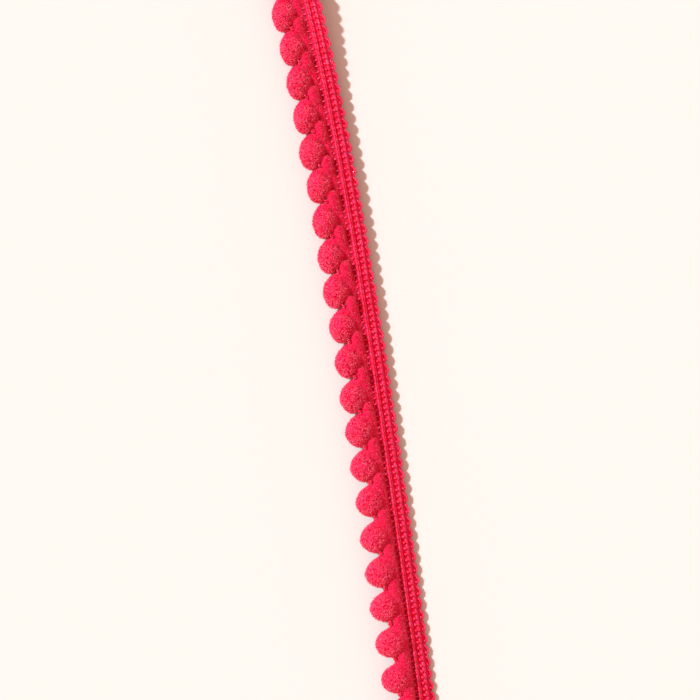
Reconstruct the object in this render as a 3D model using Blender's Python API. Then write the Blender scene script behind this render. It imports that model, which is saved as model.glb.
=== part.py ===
"""A cut length of mini pompom trim: a ribbed braid with a scalloped edge, and a row of
pompoms on a pile cord beside it. Metres, +Z up, the trim's chord along Y.

The trim lies on its pompoms. Its braid droops to the surface at the near end (-Y) and lifts
to a level, flat-backed stretch at the far end (+Y)."""

import math

import bmesh
import bpy
import numpy as np
from mathutils import Matrix, Vector

MM = 0.001

# Driving dimensions
COURSE = 1.375 * MM  # one knitted course along the braid
COURSES_PER_SCALLOP = 2
COURSES_PER_POMPOM = 6
POMPOMS = 24
POMPOM_RADIUS = 3.65 * MM
POMPOM_PRESS = 0.2 * MM  # how far its own weight flattens a pompom's underside
CORD_RADIUS = 1.45 * MM
BRAID_WIDTH = 4.05 * MM  # from the scallops' mean line to the last chain's inner side
BRAID_THICKNESS = 1.1 * MM
SCALLOP_DEPTH = 0.6 * MM
CORD_INSET = 5.8 * MM  # from the braid's outer edge in to the cord's centre
POMPOM_INSET = 8.45 * MM  # and in to the pompoms' centres

# The trim bends most at its far end: its heading turns by BEND there, dying away over BEND_RANGE
BEND = math.radians(8.75)
BEND_RANGE = 54 * MM

PITCH = COURSE * COURSES_PER_POMPOM
SCALLOP = COURSE * COURSES_PER_SCALLOP
LENGTH = PITCH * POMPOMS
CORD_HEIGHT = POMPOM_RADIUS - POMPOM_PRESS

# How the braid leans, by distance from the far end: the height of its underside at the outer
# and the inner edge, and how far in the inner edge reaches, tucked in under the cord (mm)
LEAN = (
    # distance, outer, inner, reach
    (0, 3.80, 3.80, 4.05),
    (17, 3.80, 3.80, 4.05),
    (22, 3.60, 3.55, 4.05),
    (29, 2.75, 3.20, 4.05),
    (36, 2.15, 3.00, 4.08),
    (45, 1.70, 2.85, 4.12),
    (90, 1.30, 2.54, 4.20),
    (110, 0.90, 2.36, 4.25),
    (135, 0.55, 2.25, 4.30),
    (160, 0.25, 2.18, 4.37),
    (LENGTH / MM, 0.00, 2.13, 4.45),
)

# The braid's section: distance in from the outer edge as a share of its width, height as a
# share of its thickness. The last two points lie on the inner edge, wherever that reaches.
SECTION = (
    # inset, height
    (0.00, 0.40),  # picot tip
    (0.14, 0.80),  # picot rim
    (0.24, 0.60),
    (0.37, 1.00),  # outer chain rib
    (0.53, 0.75),
    (0.73, 1.00),  # inner chain rib
    (0.88, 0.75),
    (1.00, 0.45),
    (1.00, 0.00),
    (0.08, 0.00),
)
PICOT_POINTS = (0, 9)  # the section's points that follow a scallop
INNER_POINTS = (7, 8)  # and those on the inner edge
# A scallop is a round tip between two sharp notches
SCALLOP_SHAPE = (
    # share of its length, share of its depth
    (0.0, 0.5),
    (0.2, -0.2),
    (0.5, -0.5),
    (0.8, -0.2),
)
ROUTE_STEP = COURSE / 4

# A pompom is a ball spread onto the cord by two roots, one on each side along the cord. Each
# pair is the size at the far end, where the pompoms crowd against each other and lean back,
# and at the near end, where they stand square and apart.
STRETCH = (1.06, 0.98)  # the ball's length along the cord over its width
ROOT_AHEAD = (3.1 * MM, 2.5 * MM)
ROOT_BEHIND = (1.0 * MM, 2.3 * MM)
ROOT_INSET = (6.9 * MM, 6.4 * MM)
ROOT_RADIUS = (1.9 * MM, 1.45 * MM)
UNEVEN = 0.15 * MM  # how far a pompom's place wanders
UNEVEN_SIZE = 0.025

POMPOM_SIDES, POMPOM_RINGS = 16, 10
ROOT_SIDES, ROOT_RINGS = 8, 6
WELD = 0.01 * MM
SMOOTH_UNDER = math.radians(50)  # a sharper edge than this shows as an edge


def clear_scene():
    for item in list(bpy.data.objects):
        bpy.data.objects.remove(item, do_unlink=True)


def collection(name):
    made = bpy.data.collections.new(name)
    bpy.context.scene.collection.children.link(made)
    return made


def material(name, colour, roughness):
    made = bpy.data.materials.new(name)
    made.use_nodes = True
    shader = made.node_tree.nodes["Principled BSDF"]
    shader.inputs["Base Color"].default_value = (*colour, 1)
    shader.inputs["Roughness"].default_value = roughness
    shader.inputs["Metallic"].default_value = 0
    return made


def trim_route():
    """Distances from the near end, and the points of the braid's outer edge there."""
    along = np.linspace(0, LENGTH, round(LENGTH / ROUTE_STEP) + 1)
    heading = BEND * np.exp((along - LENGTH) / BEND_RANGE)
    middle = (heading[1:] + heading[:-1]) / 2
    step = LENGTH / (len(along) - 1)
    x = np.concatenate([[0], np.cumsum(-np.sin(middle) * step)])
    y = np.concatenate([[0], np.cumsum(np.cos(middle) * step)])
    chord = math.atan2(-x[-1], y[-1])
    turned = Matrix.Rotation(-chord, 2)
    return along, np.stack([x, y], 1) @ np.array(turned).T


ALONG, ROUTE = trim_route()
HEADING = np.gradient(ROUTE, ALONG, axis=0)


def ahead_of(distance):
    """The direction of the route there, towards the far end."""
    return Vector([np.interp(distance, ALONG, HEADING[:, k]) for k in (0, 1)]).normalized()


def place(distance, inset, height):
    """A point beside the route: inset runs square to it, towards the pompoms."""
    x, y = (np.interp(distance, ALONG, ROUTE[:, k]) for k in (0, 1))
    ahead = ahead_of(distance)
    return Vector((x - ahead.y * inset, y + ahead.x * inset, height))


def lean(distance):
    """The braid's outer and inner underside heights and its reach, from the LEAN table."""
    columns = np.array(LEAN).T * MM
    return [np.interp(LENGTH - distance, columns[0], column) for column in columns[1:]]


def new_object(name, bm, into, finish):
    mesh = bpy.data.meshes.new(name)
    bm.to_mesh(mesh)
    bm.free()
    mesh.materials.append(finish)
    mesh.shade_smooth()
    mesh.set_sharp_from_angle(angle=SMOOTH_UNDER)
    made = bpy.data.objects.new(name, mesh)
    into.objects.link(made)
    return made


def braid_section(distance, scallop):
    """One closed section of the braid, leaning as it does at that distance."""
    outer, inner, reach = lean(distance)
    tilt = math.atan2(inner - outer, reach)
    points = []
    for index, (inset, height) in enumerate(SECTION):
        across = inset * BRAID_WIDTH
        if index in INNER_POINTS:
            across = reach / math.cos(tilt)
        if index in PICOT_POINTS:
            across += scallop * SCALLOP_DEPTH
        up = height * BRAID_THICKNESS
        points.append(
            place(
                distance,
                across * math.cos(tilt) - up * math.sin(tilt),
                outer + across * math.sin(tilt) + up * math.cos(tilt),
            )
        )
    return points


def build_braid(into, finish):
    """A loft through sections whose outer edge swings in and out with the scallops."""
    scallops = POMPOMS * COURSES_PER_POMPOM // COURSES_PER_SCALLOP
    stations = [
        (SCALLOP * (number + share), depth)
        for number in range(scallops)
        for share, depth in SCALLOP_SHAPE
    ]
    stations.append((LENGTH, SCALLOP_SHAPE[0][1]))
    bm = bmesh.new()
    rings = [[bm.verts.new(point) for point in braid_section(*station)] for station in stations]
    sides = len(SECTION)
    for near, far in zip(rings, rings[1:]):
        for k in range(sides):
            after = (k + 1) % sides
            bm.faces.new((near[k], near[after], far[after], far[k]))
    bm.faces.new(rings[0])
    bm.faces.new(rings[-1])
    bmesh.ops.recalc_face_normals(bm, faces=bm.faces)
    return new_object("braid", bm, into, finish)


def build_cord(into, finish):
    """The pile cord that carries the pompoms, cut square at both ends."""
    curve = bpy.data.curves.new("cord", "CURVE")
    curve.dimensions = "3D"
    curve.bevel_depth = CORD_RADIUS
    curve.bevel_resolution = 2
    curve.use_fill_caps = True
    count = POMPOMS * COURSES_PER_POMPOM // 2
    spline = curve.splines.new("POLY")
    spline.points.add(count)
    for index, point in enumerate(spline.points):
        point.co = (*place(LENGTH * index / count, CORD_INSET, CORD_HEIGHT), 1)
    guide = bpy.data.objects.new("cord", curve)
    into.objects.link(guide)
    bpy.context.view_layer.update()
    mesh = bpy.data.meshes.new_from_object(guide.evaluated_get(bpy.context.evaluated_depsgraph_get()))
    bm = bmesh.new()
    bm.from_mesh(mesh)
    bmesh.ops.remove_doubles(bm, verts=bm.verts, dist=WELD)
    bpy.data.objects.remove(guide, do_unlink=True)
    return new_object("pompom_row", bm, into, finish)


def add_ball(bm, centre, radius, sides, rings, turn=0.0, stretch=1.0):
    """A ball, turned about Z and stretched along its own Y."""
    shape = (
        Matrix.Translation(centre)
        @ Matrix.Rotation(turn, 4, "Z")
        @ Matrix.Diagonal((1, stretch, 1, 1))
    )
    bmesh.ops.create_uvsphere(bm, u_segments=sides, v_segments=rings, radius=radius, matrix=shape)


def add_pompom_balls(bm, distance, chance):
    """The ball and its two roots, before they are wrapped in one skin."""
    share = 1 - distance / LENGTH
    stretch, ahead, behind, inset, root_radius = (
        far + (near - far) * share
        for far, near in (STRETCH, ROOT_AHEAD, ROOT_BEHIND, ROOT_INSET, ROOT_RADIUS)
    )
    radius = POMPOM_RADIUS * (1 + UNEVEN_SIZE * chance.uniform(-1, 1))
    wander = UNEVEN * chance.uniform(-1, 1, 2)
    centre = place(distance + wander[0], POMPOM_INSET + wander[1], radius - POMPOM_PRESS)
    ahead_of_ball = ahead_of(distance)
    turn = math.atan2(-ahead_of_ball.x, ahead_of_ball.y)
    add_ball(bm, centre, radius, POMPOM_SIDES, POMPOM_RINGS, turn, stretch)
    room = LENGTH - distance - root_radius  # the last root ends at the cut
    for along in (min(ahead, room), -behind):
        root = place(distance + along, inset, CORD_HEIGHT)
        add_ball(bm, root, root_radius, ROOT_SIDES, ROOT_RINGS)


def build_pompom(index, chance, into, finish):
    """One pompom: the skin around its balls, with a flat spot where it rests."""
    bm = bmesh.new()
    add_pompom_balls(bm, PITCH * (index + 0.5), chance)
    bmesh.ops.delete(bm, geom=bm.edges[:] + bm.faces[:], context="EDGES_FACES")
    hull = bmesh.ops.convex_hull(bm, input=bm.verts)
    covered = dict.fromkeys(hull["geom_interior"] + hull["geom_unused"])
    inside = [item for item in covered if isinstance(item, bmesh.types.BMVert)]
    bmesh.ops.delete(bm, geom=inside, context="VERTS")
    cut = bmesh.ops.bisect_plane(
        bm,
        geom=bm.verts[:] + bm.edges[:] + bm.faces[:],
        plane_co=(0, 0, 0),
        plane_no=(0, 0, -1),
        clear_outer=True,
    )
    rim = [edge for edge in cut["geom_cut"] if isinstance(edge, bmesh.types.BMEdge)]
    bmesh.ops.edgeloop_fill(bm, edges=rim)
    bmesh.ops.recalc_face_normals(bm, faces=bm.faces)
    made = new_object(f"pompom_{index + 1:02d}", bm, into, finish)
    made.hide_render = True
    made.display_type = "WIRE"
    return made


def build_pompom_row(trim, helpers, finish):
    """The cord with every pompom fused to it."""
    chance = np.random.default_rng(5)
    for index in range(POMPOMS):
        build_pompom(index, chance, helpers, finish)
    row = build_cord(trim, finish)
    join = row.modifiers.new("pompoms", "BOOLEAN")
    join.operation = "UNION"
    join.operand_type = "COLLECTION"
    join.collection = helpers
    join.solver = "EXACT"
    return row


def stand_at_origin(objects):
    """Moves the meshes so that the trim's box stands centred on the origin."""
    bpy.context.view_layer.update()
    graph = bpy.context.evaluated_depsgraph_get()
    corners = [corner for item in objects for corner in item.evaluated_get(graph).bound_box]
    low, high = np.min(corners, 0), np.max(corners, 0)
    shift = Vector((-(low[0] + high[0]) / 2, -(low[1] + high[1]) / 2, -low[2]))
    for item in bpy.data.objects:
        item.data.transform(Matrix.Translation(shift))
    print("box", np.round((high - low) / MM, 2), "shift", np.round(shift / MM, 3))


def main():
    clear_scene()
    trim = collection("pompom_trim")
    helpers = collection("pompoms_to_join")
    braid_finish = material("cotton_braid", (0.80, 0.03, 0.07), 0.7)
    pile_finish = material("pile", (0.72, 0.02, 0.06), 0.95)
    parts = [build_braid(trim, braid_finish), build_pompom_row(trim, helpers, pile_finish)]
    stand_at_origin(parts)


main()
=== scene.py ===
# %% [markdown]
# # Mini pompom trim
#
# This lesson dresses a cut length of narrow pompom trim, 198 mm long and 12 mm wide. The
# real thing is made on a crochet knitting machine: a ribbed braid with a scalloped edge,
# and beside it a thick pile cord that is tied off and shorn into a row of small balls.
#
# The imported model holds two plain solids, `braid` and `pompom_row`. Everything below is
# built over them in metres, at real size, and stands in their place.

import math

import bpy
import numpy as np
from mathutils import Matrix, Vector


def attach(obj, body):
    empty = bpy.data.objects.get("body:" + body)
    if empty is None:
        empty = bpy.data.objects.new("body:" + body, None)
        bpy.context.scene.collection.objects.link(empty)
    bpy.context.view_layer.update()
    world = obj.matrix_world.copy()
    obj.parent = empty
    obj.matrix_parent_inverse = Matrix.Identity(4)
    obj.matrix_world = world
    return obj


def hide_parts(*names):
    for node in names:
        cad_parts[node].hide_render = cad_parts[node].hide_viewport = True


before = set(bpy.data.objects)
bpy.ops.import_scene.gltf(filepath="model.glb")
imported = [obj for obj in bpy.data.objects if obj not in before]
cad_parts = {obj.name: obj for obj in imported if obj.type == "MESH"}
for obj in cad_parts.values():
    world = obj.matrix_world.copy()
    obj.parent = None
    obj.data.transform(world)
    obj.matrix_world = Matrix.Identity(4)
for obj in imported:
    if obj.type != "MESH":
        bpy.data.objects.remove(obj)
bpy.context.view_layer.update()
MM = 0.001
print("solids:", sorted(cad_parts))

# %% [markdown]
# ## The camera
#
# A flat trim is best seen from straight above. The camera is turned a little about its own
# axis, so that the trim crosses the picture at a slant. A long lens from 60 cm keeps the
# balls from leaning outwards at the top and bottom of the picture.

# %% Camera
PICTURE_TURN = math.radians(9.72)
PICTURE_CENTRE = Vector((-0.98, -1.05, 3.5)) * MM
PICTURE_WIDTH = 162.2 * MM  # on the plane of the pompoms' middles
CAMERA_DISTANCE = 600 * MM
SENSOR_WIDTH = 36  # Blender's own, in millimetres


def new_object(name, data):
    """An object at the origin that holds the data, linked to the scene."""
    made = bpy.data.objects.new(name, data)
    bpy.context.scene.collection.objects.link(made)
    return made


def picture_direction(right, up):
    """The world direction of a step to the right and up in the picture."""
    cos, sin = math.cos(PICTURE_TURN), math.sin(PICTURE_TURN)
    return Vector((cos * right + sin * up, -sin * right + cos * up, 0))


camera = new_object("camera", bpy.data.cameras.new("camera"))
camera.data.lens = SENSOR_WIDTH * CAMERA_DISTANCE / PICTURE_WIDTH
camera.data.clip_start = 10 * MM
columns = (picture_direction(1, 0), picture_direction(0, 1), Vector((0, 0, 1)))
camera.matrix_world = Matrix.Translation(PICTURE_CENTRE + CAMERA_DISTANCE * columns[2]) @ (
    Matrix(columns).transposed().to_4x4()
)
bpy.context.scene.camera = camera
print("lens:", round(camera.data.lens, 1), "mm")

# %% [markdown]
# ## The path of the trim
#
# Everything on a trim keeps its distance from one edge, so all pieces share one path: the
# braid's outer edge. It runs nearly straight and bends at the far end. `place` turns
# "so far along, so far in, so high" into a point.

# %% Path
COURSE = 1.375 * MM  # one knitted row along the braid
COURSES_PER_POMPOM = 6
POMPOMS = 24
PITCH = COURSE * COURSES_PER_POMPOM
COURSES = POMPOMS * COURSES_PER_POMPOM
LENGTH = PITCH * POMPOMS
BEND = math.radians(8.75)
BEND_RANGE = 54 * MM
NEAR_END = Vector((4.22, -98.909, 0)) * MM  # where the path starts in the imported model
STATIONS = COURSES * 4 + 1  # points along the path, four to a course


def trim_path():
    """Distances from the near end, and the points of the braid's outer edge there."""
    along = np.linspace(0, LENGTH, STATIONS)
    heading = BEND * np.exp((along - LENGTH) / BEND_RANGE)
    middle = (heading[1:] + heading[:-1]) / 2
    step = LENGTH / (len(along) - 1)
    x = np.concatenate([[0], np.cumsum(-np.sin(middle) * step)])
    y = np.concatenate([[0], np.cumsum(np.cos(middle) * step)])
    turned = Matrix.Rotation(math.atan2(x[-1], y[-1]), 2)
    return along, np.stack([x, y], 1) @ np.array(turned).T


ALONG, PATH = trim_path()
HEADING = np.gradient(PATH, ALONG, axis=0)


def ahead_of(distance):
    """The direction of the path there, towards the far end."""
    return Vector([np.interp(distance, ALONG, HEADING[:, k]) for k in (0, 1)]).normalized()


def place(distance, inset, height):
    """A point beside the path: inset runs square to it, towards the pompoms."""
    x, y = (np.interp(distance, ALONG, PATH[:, k]) for k in (0, 1))
    ahead = ahead_of(distance)
    return NEAR_END + Vector((x - ahead.y * inset, y + ahead.x * inset, height))


print("path:", len(ALONG), "points, ends", [round(v / MM, 1) for v in place(LENGTH, 0, 0)])

# %% [markdown]
# ## How the braid leans
#
# The braid hangs on the pile cord like a hem. At the near end its outer edge lies on the
# surface, and towards the far end it lifts off and comes level. The table gives that lean,
# and `on_braid` puts a point on the slope, so every stitch below leans with it.

# %% Lean
LEAN = (
    # distance from the far end, underside at the outer edge, at the inner edge, reach (mm)
    (0, 3.80, 3.80, 4.05),
    (17, 3.80, 3.80, 4.05),
    (22, 3.60, 3.55, 4.05),
    (29, 2.75, 3.20, 4.05),
    (36, 2.15, 3.00, 4.08),
    (45, 1.70, 2.85, 4.12),
    (90, 1.30, 2.54, 4.20),
    (110, 0.90, 2.36, 4.25),
    (135, 0.55, 2.25, 4.30),
    (160, 0.25, 2.18, 4.37),
    (LENGTH / MM, 0.00, 2.13, 4.45),
)


def lean(distance):
    """The braid's underside heights at its outer and inner edge, and its reach."""
    table = np.array(LEAN).T * MM
    return [np.interp(LENGTH - distance, table[0], column) for column in table[1:]]


def on_braid(distance, inset, up):
    """A point on the leaning braid, and the direction square to its face. The inset is
    measured level, as it is seen from above."""
    outer, inner, reach = lean(distance)
    tilt = math.atan2(inner - outer, reach)
    across = (inset + up * math.sin(tilt)) / math.cos(tilt)
    point = place(distance, inset, outer + across * math.sin(tilt) + up * math.cos(tilt))
    ahead = ahead_of(distance)
    inwards = Vector((-ahead.y, ahead.x, 0))
    return point, Vector((0, 0, 1)) * math.cos(tilt) - inwards * math.sin(tilt)


print("outer edge (mm):", [round(on_braid(d, 0, 0)[0].z / MM, 2) for d in (0, LENGTH / 2, LENGTH)])

# %% [markdown]
# ## Building node trees
#
# Stitches and pile are small things repeated thousands of times, which is what Geometry
# Nodes are for. The trees are built here in code, so four helpers keep that short: one adds
# a node with its settings and links, one starts a tree with named inputs, one ends it, and
# one runs it and keeps the result as a plain mesh. A node's sockets go by name or by number,
# because some nodes have several sockets of one name.

# %% Helpers for node trees
def add(tree, kind, sockets=None, **properties):
    """A new node with its properties set. A socket takes a value, or is linked to the node
    or the output of a node that is given for it."""
    node = tree.nodes.new(kind)
    for name, value in properties.items():
        setattr(node, name, value)
    for name, value in (sockets or {}).items():
        if isinstance(value, bpy.types.Node):
            value = value.outputs[0]
        if isinstance(value, bpy.types.NodeSocket):
            tree.links.new(value, node.inputs[name])
        else:
            node.inputs[name].default_value = value
    return node


def new_tree(name, **inputs):
    """A Geometry Nodes tree, and the sockets of its inputs, whose names are given by kind."""
    tree = bpy.data.node_groups.new(name, "GeometryNodeTree")
    for kind, labels in {"Geometry": ["Geometry"], **inputs}.items():
        for label in labels:
            tree.interface.new_socket(label, in_out="INPUT", socket_type="NodeSocket" + kind)
    tree.interface.new_socket("Geometry", in_out="OUTPUT", socket_type="NodeSocketGeometry")
    return tree, add(tree, "NodeGroupInput").outputs


def finish_tree(tree, geometry, material, lowest=None):
    """Ends a tree: every copy made real, nothing left below the lowest height, one material."""
    real = add(tree, "GeometryNodeRealizeInstances", {0: geometry})
    if lowest is not None:
        spot = add(tree, "ShaderNodeSeparateXYZ", {0: add(tree, "GeometryNodeInputPosition")})
        x, y, z = spot.outputs
        lifted = add(tree, "ShaderNodeMath", {0: z, 1: lowest}, operation="MAXIMUM")
        back = add(tree, "ShaderNodeCombineXYZ", {0: x, 1: y, 2: lifted})
        real = add(tree, "GeometryNodeSetPosition", {"Geometry": real, "Position": back})
    coloured = add(tree, "GeometryNodeSetMaterial", {"Geometry": real, "Material": material})
    add(tree, "NodeGroupOutput", {0: coloured})
    print("tree:", tree.name, "with", len(tree.nodes), "nodes")
    return tree


def grow(name, tree, start, sizes):
    """Runs the tree on the mesh start and returns what grew as a plain mesh object."""
    guide = new_object(name + "_guide", start)
    modifier = guide.modifiers.new("grow", "NODES")
    modifier.node_group = tree
    for item in tree.interface.items_tree:
        if item.in_out == "INPUT" and item.name in sizes:
            modifier[item.identifier] = sizes[item.name]
    bpy.context.view_layer.update()
    graph = bpy.context.evaluated_depsgraph_get()
    mesh = bpy.data.meshes.new_from_object(guide.evaluated_get(graph))
    mesh.name = name
    bpy.data.objects.remove(guide, do_unlink=True)
    print(f"{name}: {sum(len(face.vertices) - 2 for face in mesh.polygons)} triangles")
    return new_object(name, mesh)


# %% [markdown]
# ## Copies that differ
#
# No two stitches pull equally tight and no two fibres stand alike, so every copy is turned
# a little by chance, with a fixed seed, and carries a `shade` of its own from 0 to 1, which
# the materials read. Two helpers add the few nodes that do this to any tree.

# %% Helpers for copies
def chance_turn(tree, seed, limits, facing=None):
    """A turn by chance, up to the limits either way about X, Y and Z, made in the frame of
    the facing rotation where one is given."""
    chance = add(
        tree,
        "FunctionNodeRandomValue",
        {0: (-1, -1, -1), 1: (1, 1, 1), "Seed": seed},
        data_type="FLOAT_VECTOR",
    )
    angles = add(tree, "ShaderNodeVectorMath", {0: chance, 1: limits}, operation="MULTIPLY")
    turn = add(tree, "FunctionNodeEulerToRotation", {0: angles})
    if facing is None:
        return turn
    return add(tree, "FunctionNodeRotateRotation", {0: facing, 1: turn}, rotation_space="LOCAL")


def copies(tree, points, pattern, rotation, scale, shade_seed=None):
    """The pattern set on every point, with a shade for each copy where a seed is given."""
    shape = add(tree, "GeometryNodeObjectInfo", {0: pattern})
    made = add(
        tree,
        "GeometryNodeInstanceOnPoints",
        {"Points": points, "Instance": shape.outputs["Geometry"], "Rotation": rotation, "Scale": scale},
    )
    if shade_seed is None:
        return made
    shade = add(tree, "FunctionNodeRandomValue", {2: 0.0, 3: 1.0, "Seed": shade_seed}, data_type="FLOAT")
    return add(
        tree,
        "GeometryNodeStoreNamedAttribute",
        {"Name": "shade", "Geometry": made, "Value": shade.outputs[1]},
        data_type="FLOAT",
        domain="INSTANCE",
    )


# %% [markdown]
# ## Materials: colour first
#
# Cloth colours are chosen on a screen, so they are written as sRGB hex values and turned
# to the linear light that the renderer adds up. Dyed fibres also let light in: red travels
# far between them, green and blue are soon lost, and that is why red yarn glows in its own
# shade. The subsurface settings give that glow.

# %% Colour and material helpers
RED_REACH = (1.0, 0.10, 0.16)  # how far red, green and blue light travel in red fibre


def linear(colour):
    """An sRGB hex value, such as "d8203a", as linear red, green, blue and alpha."""
    shares = [int(colour[k : k + 2], 16) / 255 for k in (0, 2, 4)]
    return (*[s / 12.92 if s <= 0.04045 else ((s + 0.055) / 1.055) ** 2.4 for s in shares], 1)


def new_material(name, roughness, gloss, glow=0.0, reach=0.5 * MM):
    """A material with its node tree and its one Principled shader."""
    made = bpy.data.materials.new(name)
    made.use_nodes = True
    shader = made.node_tree.nodes["Principled BSDF"]
    shader.inputs["Roughness"].default_value = roughness
    shader.inputs["Specular IOR Level"].default_value = gloss
    shader.inputs["Subsurface Weight"].default_value = glow
    shader.inputs["Subsurface Radius"].default_value = RED_REACH
    shader.inputs["Subsurface Scale"].default_value = reach
    return made, made.node_tree, shader


def colour_between(tree, shader, share, dark, light, relief=None):
    """Colours the shader between two shades by the share. Relief is the strength, the depth
    and the height of a bump."""
    colour = add(tree, "ShaderNodeMix", {0: share, 6: dark, 7: light}, data_type="RGBA")
    tree.links.new(colour.outputs[2], shader.inputs["Base Color"])
    if relief:
        strength, depth, height = relief
        bump = add(
            tree, "ShaderNodeBump", {"Strength": strength, "Distance": depth, "Height": height}
        )
        tree.links.new(bump.outputs["Normal"], shader.inputs["Normal"])


# %% [markdown]
# ### Braid yarn
#
# The braid is knitted from mercerised cotton, two plies twisted together. Mercerising
# swells the fibres round and smooth, so each strand has a soft broad shine along it, and
# the twist shows as slanting ridges. The strand's UV map holds turns round it and
# millimetres along it, so the ridges keep their real spacing on every stitch.

# %% Braid yarn
PLY_SPACING = 0.55 * MM  # from one ply to the next along the strand
PLY_DEPTH = 0.05 * MM
DYE_PATCH = 1.6 * MM  # how wide a patch of slightly uneven dye is


def braid_yarn():
    """Two-ply mercerised cotton, dyed red."""
    made, tree, shader = new_material("mercerised cotton yarn", 0.35, gloss=0.45, glow=0.8)
    spot = add(tree, "ShaderNodeTexCoord")
    dye = add(
        tree,
        "ShaderNodeTexNoise",
        {"Scale": 1 / DYE_PATCH, "Detail": 3, "Vector": spot.outputs["Object"]},
    )
    strand_shade = add(tree, "ShaderNodeAttribute", attribute_name="shade")
    share = add(
        tree, "ShaderNodeMath", {0: dye.outputs["Fac"], 1: strand_shade.outputs["Fac"]}, operation="ADD"
    )
    halved = add(tree, "ShaderNodeMath", {0: share, 1: 0.5}, operation="MULTIPLY")

    uv = add(tree, "ShaderNodeUVMap", uv_map="UVMap")
    parts = add(tree, "ShaderNodeSeparateXYZ", {0: uv})
    turn = add(
        tree,
        "ShaderNodeMath",
        {0: parts.outputs["Y"], 1: MM / PLY_SPACING, 2: parts.outputs["X"]},
        operation="MULTIPLY_ADD",
    )
    angle = add(tree, "ShaderNodeMath", {0: turn, 1: 2 * math.pi}, operation="MULTIPLY")
    ply = add(tree, "ShaderNodeMath", {0: angle}, operation="SINE")
    shades = (linear("e20c44"), linear("fb4074"))
    colour_between(tree, shader, halved, *shades, relief=(0.5, PLY_DEPTH, ply))
    return made


YARN = braid_yarn()
print("material:", YARN.name)

# %% [markdown]
# ### Knitted ground
#
# Behind the stitches lies the body of the knit, where threads cross in the shade. It is
# the same cotton, but only its small crossings show, so it is duller and painted darker,
# partly as painted shade between the stitches, with rows at the spacing of the threads.
# Towards the cord it is painted a deeper red still: painted shade for the dark groove
# beside the cord. The UV map is in millimetres.

# %% Knitted ground
WEFT_SPACING = 0.46  # mm between the threads laid across the knit, three to a course
WAVE_OF_ONE = math.pi / 10  # the scale that sets a wave texture's rows one unit apart
FIBRE_NOISE = 4.0  # specks to a millimetre
CROSSING_DEPTH = 0.12 * MM
PAINTED_GROOVE_SHADE = (3.35, 3.95)  # mm from the outer edge: where the painted shade of the groove by the cord sets in


def knitted_ground():
    """The shaded cotton between the stitches."""
    made, tree, shader = new_material("knitted cotton ground", 0.8, gloss=0.2, glow=0.8)
    uv = add(tree, "ShaderNodeUVMap", uv_map="UVMap")
    rows = add(
        tree,
        "ShaderNodeTexWave",
        {"Scale": WAVE_OF_ONE / WEFT_SPACING, "Distortion": 1.2, "Detail": 1, "Vector": uv},
        bands_direction="Y",
    )
    fibres = add(tree, "ShaderNodeTexNoise", {"Scale": FIBRE_NOISE, "Detail": 4, "Vector": uv})
    share = add(
        tree, "ShaderNodeMath", {0: rows.outputs["Fac"], 1: fibres.outputs["Fac"]}, operation="MULTIPLY"
    )
    # partly painted shade: the ground is painted darker than the stitches' yarn
    knit = add(
        tree, "ShaderNodeMix", {0: share, 6: linear("d40640"), 7: linear("f61c5a")}, data_type="RGBA"
    )

    # painted shade: towards the cord the ground turns to the deep red of the groove's shade
    across = add(tree, "ShaderNodeSeparateXYZ", {0: uv}).outputs["X"]
    loose = add(tree, "ShaderNodeMapRange", {0: across, 1: PAINTED_GROOVE_SHADE[0], 2: PAINTED_GROOVE_SHADE[1]})
    shades = (knit.outputs[2], linear("be0030"))
    colour_between(tree, shader, loose, *shades, relief=(0.8, CROSSING_DEPTH, share))
    return made


GROUND = knitted_ground()
print("material:", GROUND.name)

# %% [markdown]
# ### Cut pile
#
# The balls are soft acrylic pile, cut and shorn round, and the cord is the same pile left
# uncut. Pile is matt, because its fibres end facing every way. It is mottled, partly by
# chance in its tone and partly with painted shade in the partings between the tufts, over
# the pits in the skin. The pile is one red, but three finishes at three depths share one
# recipe, painted lighter or darker by depth as painted sheen and painted shade:
#
# - The tips are painted pale, a painted sheen, with a trace of gloss, and too thin to glow.
# - The tufts, a little deeper, are painted redder and glow somewhat.
# - The roots are painted the deepest red, a painted shade deep in the pile. They glow most
#   and hardly shine.
#
# The uncut cord shows fewer fibre ends, and beside the balls it lies in their shade, so it
# is painted darker: it takes only a part of the balls' paleness, partly as painted shade.
# Where the skin carries `tufted` and a fibre its `shade`, the recipe reads them.

# %% Cut pile
TUFT = 0.65 * MM  # from one parting of the tufts to the next
CLUMP = 0.35 * MM  # how wide a clump of fibres is
PIT = (0.24, 0.42)  # where a parting's floor ends and its rim begins, in shares of a tuft
# painted shade: how much darker the partings between the tufts are painted
PIT_PAINTED_SHADE = 0.75
CLUMP_BRIGHTENS = 0.75
CLUMP_EDGES = (0.38, 0.62)  # the noise values between which a clump goes from dark to pale
FIBRE_BRIGHTENS = 0.4
# painted shade: the cord is painted darker than the balls by this share
CORD_PAINTED_SHADE_SHARE = 0.6  # how much of the balls' paleness the unshorn cord has


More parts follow.
